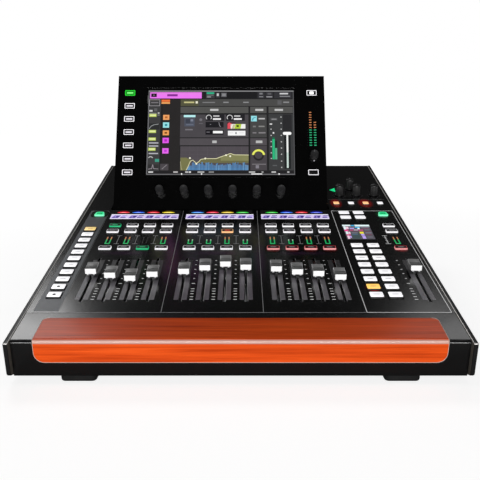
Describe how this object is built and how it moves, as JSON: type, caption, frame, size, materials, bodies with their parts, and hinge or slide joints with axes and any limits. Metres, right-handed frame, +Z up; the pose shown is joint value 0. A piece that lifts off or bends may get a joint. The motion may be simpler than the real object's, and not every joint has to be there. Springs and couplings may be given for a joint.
{
  "type": "mixing console",
  "caption": "Compact sloped digital mixing console: sliding faders with lit keys, a wooden armrest, and a touch-screen lid that tilts up on hinges at the rear.",
  "frame": {"origin": "centre of the bounding box's bottom face, on the surface the feet stand on", "axes": "+Z up, +X to the user's right, -Y towards the user; the work surface rises at 11 degrees towards +Y"},
  "size_m": [0.446, 0.5806, 0.3037],
  "materials": {
    "case_black": "satin black powder coat",
    "panel_black": "satin black anodised",
    "lid_case": "fine textured black",
    "gloss_black": "high gloss black",
    "wood_orange": "glossy orange-brown lacquer over fine grain",
    "rubber_black": "matt",
    "key_white": "backlit translucent white",
    "cap_grey": "satin grey with a white front face",
    "knob_black": "satin black",
    "steel_bare": "zinc plated",
    "frame_aluminium": "mill finish",
    "board_green": "green solder mask",
    "socket_black": "moulded black"
  },
  "bodies": {
    "chassis": {"base_tray": "case_black", "left_cheek": "panel_black", "right_cheek": "panel_black", "top_panel": "panel_black", "front_rail": "panel_black", "armrest": "wood_orange", "rear_panel": "case_black", "screen_well": "case_black", "main_board": "board_green", "power_supply": "frame_aluminium", "fan_frame": "socket_black", "io_board": "socket_black", "power_inlet": "socket_black", "hinge_bracket_left": "steel_bare", "hinge_bracket_right": "steel_bare", "hinge_pin_left": "steel_bare", "hinge_pin_right": "steel_bare", "foot_front_left": "rubber_black", "foot_front_right": "rubber_black", "foot_rear_left": "rubber_black", "foot_rear_right": "rubber_black", "fader_frame": "frame_aluminium"},
    "lid": {"lid_back_cover": "lid_case", "lid_front_panel": "gloss_black", "lcd_module": "gloss_black"},
    "fader_01": {"fader_cap_01": "cap_grey"},
    "fader_02": {"fader_cap_02": "cap_grey"},
    "fader_03": {"fader_cap_03": "cap_grey"},
    "fader_04": {"fader_cap_04": "cap_grey"},
    "fader_05": {"fader_cap_05": "cap_grey"},
    "fader_06": {"fader_cap_06": "cap_grey"},
    "fader_07": {"fader_cap_07": "cap_grey"},
    "fader_08": {"fader_cap_08": "cap_grey"},
    "fader_09": {"fader_cap_09": "cap_grey"},
    "fader_10": {"fader_cap_10": "cap_grey"},
    "fader_11": {"fader_cap_11": "cap_grey"},
    "fader_12": {"fader_cap_12": "cap_grey"},
    "fader_main": {"fader_cap_main": "cap_grey"},
    "encoder_1": {"lid_encoder_1": "knob_black"},
    "encoder_2": {"lid_encoder_2": "knob_black"},
    "encoder_3": {"lid_encoder_3": "knob_black"},
    "encoder_4": {"lid_encoder_4": "knob_black"},
    "encoder_5": {"lid_encoder_5": "knob_black"},
    "encoder_6": {"lid_encoder_6": "knob_black"},
    "lid_volume": {"lid_volume_knob": "knob_black"},
    "monitor_1": {"monitor_knob_1": "knob_black"},
    "monitor_2": {"monitor_knob_2": "knob_black"},
    "monitor_3": {"monitor_knob_3": "knob_black"},
    "monitor_4": {"monitor_knob_4": "knob_black"},
    "keys_left": {"keypad_left": "key_white"},
    "keys_bank_1": {"keypad_bank_1": "key_white"},
    "keys_bank_2": {"keypad_bank_2": "key_white"},
    "keys_bank_3": {"keypad_bank_3": "key_white"},
    "keys_right": {"keypad_right": "key_white"},
    "keys_main": {"keypad_main": "key_white"},
    "keys_monitor": {"keypad_monitor": "key_white"},
    "keys_lid_left": {"keypad_lid_left": "key_white"},
    "keys_lid_right": {"keypad_lid_right": "key_white"},
    "rocker": {"power_switch": "socket_black"},
    "fan": {"fan_rotor": "socket_black"}
  },
  "joints": [
    {"name": "lid_tilt", "type": "hinge", "parent": "chassis", "child": "lid", "pos_m": [-0.029, 0.08515, 0.1088], "axis": [1, 0, 0], "range_deg": [-56, 4]},
    {"name": "fader_01_slide", "type": "slide", "parent": "chassis", "child": "fader_01", "axis": [0, 0.9816, 0.1908], "range_m": [-0.0607, 0.0393]},
    {"name": "fader_02_slide", "type": "slide", "parent": "chassis", "child": "fader_02", "axis": [0, 0.9816, 0.1908], "range_m": [-0.0506, 0.0494]},
    {"name": "fader_03_slide", "type": "slide", "parent": "chassis", "child": "fader_03", "axis": [0, 0.9816, 0.1908], "range_m": [-0.0432, 0.0568]},
    {"name": "fader_04_slide", "type": "slide", "parent": "chassis", "child": "fader_04", "axis": [0, 0.9816, 0.1908], "range_m": [-0.0532, 0.0468]},
    {"name": "fader_05_slide", "type": "slide", "parent": "chassis", "child": "fader_05", "axis": [0, 0.9816, 0.1908], "range_m": [-0.0607, 0.0393]},
    {"name": "fader_06_slide", "type": "slide", "parent": "chassis", "child": "fader_06", "axis": [0, 0.9816, 0.1908], "range_m": [-0.0704, 0.0296]},
    {"name": "fader_07_slide", "type": "slide", "parent": "chassis", "child": "fader_07", "axis": [0, 0.9816, 0.1908], "range_m": [-0.0806, 0.0194]},
    {"name": "fader_08_slide", "type": "slide", "parent": "chassis", "child": "fader_08", "axis": [0, 0.9816, 0.1908], "range_m": [-0.072, 0.028]},
    {"name": "fader_09_slide", "type": "slide", "parent": "chassis", "child": "fader_09", "axis": [0, 0.9816, 0.1908], "range_m": [-0.0674, 0.0326]},
    {"name": "fader_10_slide", "type": "slide", "parent": "chassis", "child": "fader_10", "axis": [0, 0.9816, 0.1908], "range_m": [-0.0596, 0.0404]},
    {"name": "fader_11_slide", "type": "slide", "parent": "chassis", "child": "fader_11", "axis": [0, 0.9816, 0.1908], "range_m": [-0.0551, 0.0449]},
    {"name": "fader_12_slide", "type": "slide", "parent": "chassis", "child": "fader_12", "axis": [0, 0.9816, 0.1908], "range_m": [-0.046, 0.054]},
    {"name": "fader_main_slide", "type": "slide", "parent": "chassis", "child": "fader_main", "axis": [0, 0.9816, 0.1908], "range_m": [-0.0696, 0.0304]},
    {"name": "encoder_1_turn", "type": "hinge", "parent": "lid", "child": "encoder_1", "pos_m": [-0.1162, 0.08919, 0.1375], "axis": [0, -0.9205, 0.3907], "continuous": true},
    {"name": "encoder_2_turn", "type": "hinge", "parent": "lid", "child": "encoder_2", "pos_m": [-0.0813, 0.08919, 0.1375], "axis": [0, -0.9205, 0.3907], "continuous": true},
    {"name": "encoder_3_turn", "type": "hinge", "parent": "lid", "child": "encoder_3", "pos_m": [-0.0464, 0.08919, 0.1375], "axis": [0, -0.9205, 0.3907], "continuous": true},
    {"name": "encoder_4_turn", "type": "hinge", "parent": "lid", "child": "encoder_4", "pos_m": [-0.0116, 0.08919, 0.1375], "axis": [0, -0.9205, 0.3907], "continuous": true},
    {"name": "encoder_5_turn", "type": "hinge", "parent": "lid", "child": "encoder_5", "pos_m": [0.0233, 0.08919, 0.1375], "axis": [0, -0.9205, 0.3907], "continuous": true},
    {"name": "encoder_6_turn", "type": "hinge", "parent": "lid", "child": "encoder_6", "pos_m": [0.0582, 0.08919, 0.1375], "axis": [0, -0.9205, 0.3907], "continuous": true},
    {"name": "lid_volume_turn", "type": "hinge", "parent": "lid", "child": "lid_volume", "pos_m": [0.1075, 0.11052, 0.18776], "axis": [0, -0.9205, 0.3907], "range_deg": [-150, 150]},
    {"name": "monitor_1_turn", "type": "hinge", "parent": "chassis", "child": "monitor_1", "pos_m": [0.149, 0.13329, 0.12579], "axis": [0, -0.1908, 0.9816], "range_deg": [-150, 150]},
    {"name": "monitor_2_turn", "type": "hinge", "parent": "chassis", "child": "monitor_2", "pos_m": [0.1746, 0.13329, 0.12579], "axis": [0, -0.1908, 0.9816], "range_deg": [-150, 150]},
    {"name": "monitor_3_turn", "type": "hinge", "parent": "chassis", "child": "monitor_3", "pos_m": [0.201, 0.13329, 0.12579], "axis": [0, -0.1908, 0.9816], "range_deg": [-150, 150]},
    {"name": "monitor_4_turn", "type": "hinge", "parent": "chassis", "child": "monitor_4", "pos_m": [0.169, 0.16274, 0.13152], "axis": [0, -0.1908, 0.9816], "range_deg": [-150, 150]},
    {"name": "keys_left_press", "type": "slide", "parent": "chassis", "child": "keys_left", "axis": [0, -0.1908, 0.9816], "range_m": [-0.0012, 0], "stiffness_N_per_m": 1000, "springref_m": 0.002},
    {"name": "keys_bank_1_press", "type": "slide", "parent": "chassis", "child": "keys_bank_1", "axis": [0, -0.1908, 0.9816], "range_m": [-0.0012, 0], "stiffness_N_per_m": 1000, "springref_m": 0.002},
    {"name": "keys_bank_2_press", "type": "slide", "parent": "chassis", "child": "keys_bank_2", "axis": [0, -0.1908, 0.9816], "range_m": [-0.0012, 0], "stiffness_N_per_m": 1000, "springref_m": 0.002},
    {"name": "keys_bank_3_press", "type": "slide", "parent": "chassis", "child": "keys_bank_3", "axis": [0, -0.1908, 0.9816], "range_m": [-0.0012, 0], "stiffness_N_per_m": 1000, "springref_m": 0.002},
    {"name": "keys_right_press", "type": "slide", "parent": "chassis", "child": "keys_right", "axis": [0, -0.1908, 0.9816], "range_m": [-0.0012, 0], "stiffness_N_per_m": 1000, "springref_m": 0.002},
    {"name": "keys_main_press", "type": "slide", "parent": "chassis", "child": "keys_main", "axis": [0, -0.1908, 0.9816], "range_m": [-0.0012, 0], "stiffness_N_per_m": 1000, "springref_m": 0.002},
    {"name": "keys_monitor_press", "type": "slide", "parent": "chassis", "child": "keys_monitor", "axis": [0, -0.1908, 0.9816], "range_m": [-0.0012, 0], "stiffness_N_per_m": 1000, "springref_m": 0.002},
    {"name": "keys_lid_left_press", "type": "slide", "parent": "lid", "child": "keys_lid_left", "axis": [0, -0.9205, 0.3907], "range_m": [-0.0012, 0], "stiffness_N_per_m": 1000, "springref_m": 0.002},
    {"name": "keys_lid_right_press", "type": "slide", "parent": "lid", "child": "keys_lid_right", "axis": [0, -0.9205, 0.3907], "range_m": [-0.0012, 0], "stiffness_N_per_m": 1000, "springref_m": 0.002},
    {"name": "rocker_tip", "type": "hinge", "parent": "chassis", "child": "rocker", "pos_m": [0.138, 0.2834, 0.045], "axis": [1, 0, 0], "range_deg": [0, 16]},
    {"name": "fan_spin", "type": "hinge", "parent": "chassis", "child": "fan", "pos_m": [-0.18, 0.2789, 0.062], "axis": [0, 1, 0], "continuous": true}
  ]
}
